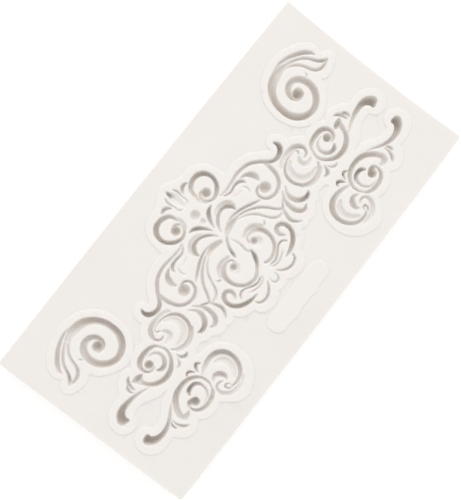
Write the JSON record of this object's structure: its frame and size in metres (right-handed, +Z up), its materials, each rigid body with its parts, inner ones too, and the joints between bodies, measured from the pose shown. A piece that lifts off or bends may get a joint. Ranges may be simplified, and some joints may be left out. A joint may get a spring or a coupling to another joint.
{
  "type": "resin casting mould",
  "caption": "Flat silicone casting mould with a mirrored set of scroll and leaf cavities sunk into raised lands, open at the top, for resin or plaster trim.",
  "frame": {"origin": "on the bench under the middle of the slab, on the axis that the ornament is mirrored about", "axes": "+X along the long side, +Y towards the crest of the ornament, +Z up, out of the open cavities"},
  "size_m": [0.166, 0.081, 0.01],
  "materials": {
    "silicone": "satin, off-white, slightly translucent"
  },
  "bodies": {
    "root": {"mould_body": "silicone"}
  },
  "joints": []
}
